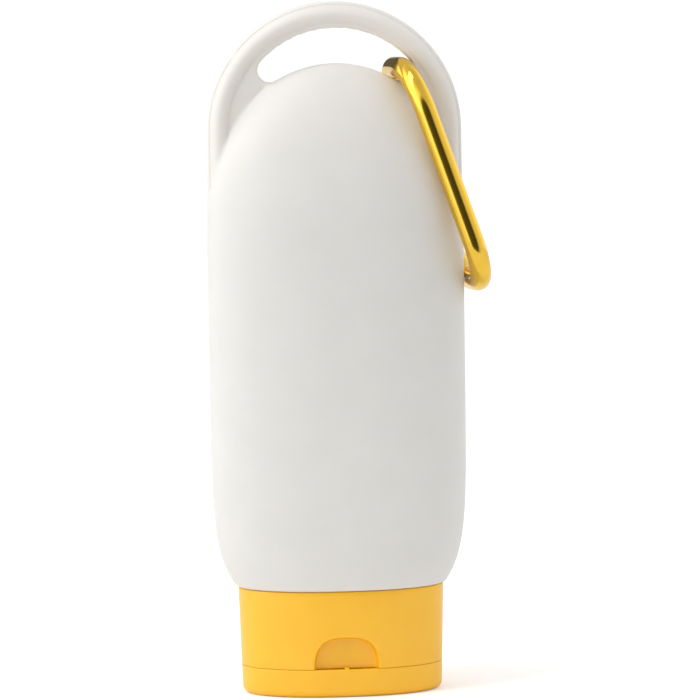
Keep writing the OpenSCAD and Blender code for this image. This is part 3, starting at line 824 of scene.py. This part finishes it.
def makeClipFrame():
    c, leg = clipSize, clipLeg
    run = c["length"] - c["wire"]
    path = [(0, leg, -c["stubTop"]), (0, leg, 0), (0, -leg, 0), (0, -leg, -run), (0, leg, -run),
            (0, leg, -c["stubEnd"])]
    wire = weld(runTree(wireTree, path, {
        "Wire Radius": c["wire"] / 2 * mm, "Bend Radius": c["bend"] * mm,
        "Bend Steps": 28, "Sides": 72}, "clipMetal"))
    half, wide = c["tongue"] / 2, c["tongueWide"] / 2
    upper = boxMesh((-half, leg - wide, -c["tongueEnd"]),
                    (half, leg + wide, -c["stubTop"] + c["rootIn"]))
    lower = boxMesh((-half, leg - wide, -c["stubEnd"] - c["rootIn"]),
                    (half, leg + wide, -c["noseTongue"]))
    wire = cutMesh(wire, [upper, lower], "UNION")
    hole = crossRod(leg, c["pivot"], 3 * c["wire"], c["rivetHole"], "clipMetal")
    notch = crossRod(leg, c["latch"], 3 * c["wire"], c["notch"], "clipMetal")
    mouth = boxMesh((-c["wire"], leg - c["wire"], -c["latch"] - c["notch"]),
                    (c["wire"], leg, -c["latch"] + c["notch"]))
    wire = softenEdges(cutMesh(wire, [hole, notch, mouth]), c["soften"])
    wire.transform(clipMatrix())
    settle("clip_wire", wire, "clip", "clipMetal", ["clip_frame"], 30)


def makeGate():
    c, leg = clipSize, clipLeg
    radius = c["wire"] / 2
    ends = c["endRound"]
    profile = [(0, -c["gateEnd"])]
    for a in np.linspace(0, np.pi / 2, 6):
        profile.append((radius - ends * (1 - math.sin(a)),
                        -c["gateEnd"] + ends * (1 - math.cos(a))))
    profile += [(radius, z) for z in (-c["noseSlot"] + 0.6, -20, -c["slotEnd"] - 0.6)]
    for a in np.linspace(np.pi / 2, 0, 6):
        profile.append((radius - ends * (1 - math.sin(a)),
                        -c["gateTop"] - ends * (1 - math.cos(a))))
    profile.append((0, -c["gateTop"]))
    rod = turnedMesh(profile, "clipMetal", 72)
    rod.transform(Matrix.Translation((0, leg * mm, 0)))
    bore = turnedMesh([(0, -c["boreEnd"]), (c["bore"], -c["boreEnd"]), (c["bore"], -c["pivot"]),
                       (0, -c["pivot"])], "clipMetal", 40)
    bore.transform(Matrix.Translation((0, leg * mm, 0)))
    wire = c["wire"]
    slot = c["slotHalf"]
    cutters = [
        boxMesh((-slot, leg - wire, -c["slotEnd"]), (slot, leg + wire, -c["gateTop"] + 1)),
        boxMesh((-slot, leg - wire, -c["gateEnd"] - 1), (slot, leg + wire, -c["noseSlot"])),
        bore, crossRod(leg, c["pivot"], 3 * wire, c["rivet"], "clipMetal"),
        crossRod(leg, c["latch"], 3 * wire, c["latchPin"], "clipMetal")]
    gate = softenEdges(cutMesh(rod, cutters), c["soften"])
    gate.transform(clipMatrix())
    settle("gate_rod", gate, "gate", "clipMetal", ["clip_gate"], 30)


def makeGateParts():
    c, leg = clipSize, clipLeg
    parts = {}
    for name, s, radius, node in (("rivet_pin", c["pivot"], c["rivet"], "gate_rivet"),
                                  ("latch_pin", c["latch"], c["latchPin"], "gate_latch_pin")):
        length = c["wire"] - c["pinShort"]
        parts[name] = (crossRod(leg, s, length, radius, "pinSteel", c["pinDome"]), node)
    tip, low, edge, nose = c["plungerTop"], c["plungerEnd"], c["plungerEdge"], c["plungerNose"]
    profile = [(0, -low), (c["plunger"] - edge, -low), (c["plunger"], -low + edge)]
    for a in np.linspace(np.pi / 2, 0, 6):
        profile.append((c["plunger"] - nose * (1 - math.sin(a)), -tip - nose * (1 - math.cos(a))))
    profile.append((0, -tip))
    plunger = turnedMesh(profile, "pinSteel", 40)
    plunger.transform(Matrix.Translation((0, leg * mm, 0)))
    parts["plunger_pin"] = (plunger, "gate_plunger")
    height = c["springPitch"] * c["springCurls"]
    coil = runTree(coilTree, [(0, 0, 0)], {
        "Curls": float(c["springCurls"]), "Steps": 28, "Sides": 12, "Coil Height": height * mm,
        "Coil Radius": c["springRadius"] * mm, "Wire Radius": c["springWire"] / 2 * mm}, "pinSteel")
    coil = weld(coil, 0.0005)
    middle = Vector((0, leg, -c["springTop"] - c["springWire"] / 2 - height)) * mm
    coil.transform(Matrix.Translation(middle))
    parts["coil_spring"] = (coil, "gate_spring")
    bodies = {"gate_plunger": "plunger", "gate_spring": None}
    for name, (mesh, node) in parts.items():
        mesh.transform(clipMatrix())
        piece = settle(name, mesh, bodies.get(node, "gate"), "pinSteel", [node], 40)
        if node == "gate_spring":
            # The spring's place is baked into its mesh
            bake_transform(piece)


def makeSeal():
    b, c = bottleSize, closureSize
    edge = 0.15
    low, high, inner, outer = c["deckTop"], b["neckRim"], b["neckBore"], b["neckRadius"]
    profile = [(inner, low + edge), (inner + edge, low), (outer - edge, low), (outer, low + edge),
               (outer, high - edge), (outer - edge, high), (inner + edge, high),
               (inner, high - edge), (inner, low + edge)]
    settle("seal_ring", turnedMesh(profile, "sealFoam", 96), "root", "sealFoam", ["neck_seal"], 35)


makeClipFrame()
makeGate()
makeGateParts()
makeSeal()
print("clip, gate and seal made")


# Camera at the photograph's place, with angles in degrees and distances in metres
cameraSize = {"target": (0, 0, 0.058), "distance": 0.9, "turn": -5, "rise": 6, "roll": -0.9,
              "sensor": 36, "pixelsPerMetre": 5906, "imageWidth": 700, "targetPixel": 337.3}


def makeCamera():
    c = cameraSize
    turn, rise = math.radians(c["turn"]), math.radians(c["rise"])
    away = Vector((math.sin(turn) * math.cos(rise), -math.cos(turn) * math.cos(rise),
                   math.sin(rise)))
    data = bpy.data.cameras.new("camera")
    data.sensor_width = c["sensor"]
    data.lens = c["sensor"] * c["pixelsPerMetre"] * c["distance"] / c["imageWidth"]
    data.shift_x = (c["imageWidth"] / 2 - c["targetPixel"]) / c["imageWidth"]
    data.clip_end = 50
    camera = addObject("camera", data)
    right = Vector((0, 0, 1)).cross(away).normalized()
    frameAxes = Matrix((right, away.cross(right), away)).transposed().to_4x4()
    stand = Matrix.Translation(Vector(c["target"]) + away * c["distance"])
    camera.matrix_world = stand @ frameAxes @ Matrix.Rotation(math.radians(c["roll"]), 4, "Z")
    bpy.context.scene.camera = camera


# Soft studio: lobes and flags are (direction, strength, inner degrees, outer degrees). Shiny faces
# mirror a sky at the level mirrored, with the left lobes times lobeGain and the dark flags in full;
# light on dull faces starts from base and feels only the share flagSoft of the flags. The floor
# stops at floorFront, so that the clip mirrors the front flag below the horizon, and the camera
# sees floorLift added to it, which keeps the paper white. Places are in metres.
studio = {
    "base": 0.69, "background": 1.0, "mirrored": 0.68, "lobeGain": 2.0,
    "lobes": [((-1.0, 0.0, 0.1), 0.5, 10, 60), ((-0.75, -0.66, 0.15), 0.35, 10, 60),
              ((1.0, 0.1, 0.1), 0.22, 10, 60), ((-0.7, 0.7, 0.2), 0.3, 10, 60),
              ((0.7, 0.7, 0.2), 0.34, 10, 60)],
    "flags": [((0.08, -0.99, -0.1), 0.91, 26, 43), ((-0.35, 0.9, 0.26), 0.9, 16, 34)],
    "flagSoft": 0.15, "lampPlace": (-0.5, -0.28, 0.95), "lampSize": (0.27, 1.0), "lampPower": 3.7,
    "floorLift": 0.24, "floorFront": -0.13, "floorReach": 6.0,
}


def makeWorld():
    world = bpy.data.worlds.new("studio")
    bpy.context.scene.world = world
    world.use_nodes = True
    tree = world.node_tree
    shader = tree.nodes["Background"]
    place = addNode(tree, "ShaderNodeTexCoord")["Generated"]
    rays = addNode(tree, "ShaderNodeLightPath")

    def combine(operation, a, b):
        return addNode(tree, "ShaderNodeMath", {0: a, 1: b}, operation=operation)[0]

    def lobe(direction, strength, inner, outer):
        along = addNode(tree, "ShaderNodeVectorMath", {0: place, 1: Vector(direction).normalized()},
                        operation="DOT_PRODUCT")["Value"]
        return addNode(tree, "ShaderNodeMapRange", {
            "Value": along, "From Min": math.cos(math.radians(outer)),
            "From Max": math.cos(math.radians(inner)), "To Min": 0.0, "To Max": strength},
            interpolation_type="SMOOTHSTEP")["Result"]

    def mix(factor, a, b):
        return addNode(tree, "ShaderNodeMix", {"Factor": factor, "A": a, "B": b})["Result"]

    shiny = combine("MAXIMUM", rays["Is Glossy Ray"], rays["Is Transmission Ray"])
    level = mix(shiny, studio["base"], studio["mirrored"])
    gain = mix(shiny, 1.0, studio["lobeGain"])
    for direction, strength, inner, outer in studio["lobes"]:
        light = lobe(direction, strength, inner, outer)
        if direction[0] < 0:
            light = combine("MULTIPLY", light, gain)
        level = combine("ADD", level, light)
    flagShare = mix(shiny, studio["flagSoft"], 1.0)
    for each in studio["flags"]:
        held = combine("MULTIPLY", lobe(*each), flagShare)
        level = combine("MULTIPLY", level, combine("SUBTRACT", 1.0, held))
    level = mix(rays["Is Camera Ray"], level, studio["background"])
    shader.inputs["Color"].default_value = (1, 1, 1, 1)
    tree.links.new(level, shader.inputs["Strength"])


def makeFloor():
    # A pale floor that keeps the contact shadow and is white where nothing shades it
    material = bpy.data.materials.new("floorPaper")
    material.use_nodes = True
    tree = material.node_tree
    shader = tree.nodes["Principled BSDF"]
    place = addNode(tree, "ShaderNodeTexCoord")["Object"]
    fibre = addNode(tree, "ShaderNodeTexNoise", {
        "Vector": place, "Scale": 900.0, "Detail": 3.0})["Fac"]
    bump = addNode(tree, "ShaderNodeBump", {"Height": fibre, "Distance": 0.00002})["Normal"]
    tree.links.new(bump, shader.inputs["Normal"])
    shader.inputs["Base Color"].default_value = (0.9, 0.9, 0.9, 1)
    shader.inputs["Roughness"].default_value = 0.9
    shader.inputs["Specular IOR Level"].default_value = 0.1
    rays = addNode(tree, "ShaderNodeLightPath")
    lift = addNode(tree, "ShaderNodeMath", {0: rays["Is Camera Ray"], 1: studio["floorLift"]},
                   operation="MULTIPLY")[0]
    shader.inputs["Emission Color"].default_value = (1, 1, 1, 1)
    tree.links.new(lift, shader.inputs["Emission Strength"])
    mesh = bpy.data.meshes.new("floor")
    far, front = studio["floorReach"], studio["floorFront"]
    mesh.from_pydata([(-far, front, 0), (far, front, 0), (far, far, 0), (-far, far, 0)], [],
                     [(0, 1, 2, 3)])
    mesh.materials.append(material)
    floor = addObject("floor", mesh)


def makeLamp():
    data = bpy.data.lights.new("softbox", "AREA")
    data.shape, data.energy = "RECTANGLE", studio["lampPower"]
    data.size, data.size_y = studio["lampSize"]
    lamp = addObject("softbox", data)
    lamp.location = studio["lampPlace"]
    aim = Vector(cameraSize["target"]) - lamp.location
    lamp.rotation_euler = aim.to_track_quat("-Z", "Y").to_euler()


makeCamera()
makeWorld()
makeFloor()
makeLamp()
bpy.context.scene.view_settings.view_transform = "Standard"
print("camera, floor and lights made")
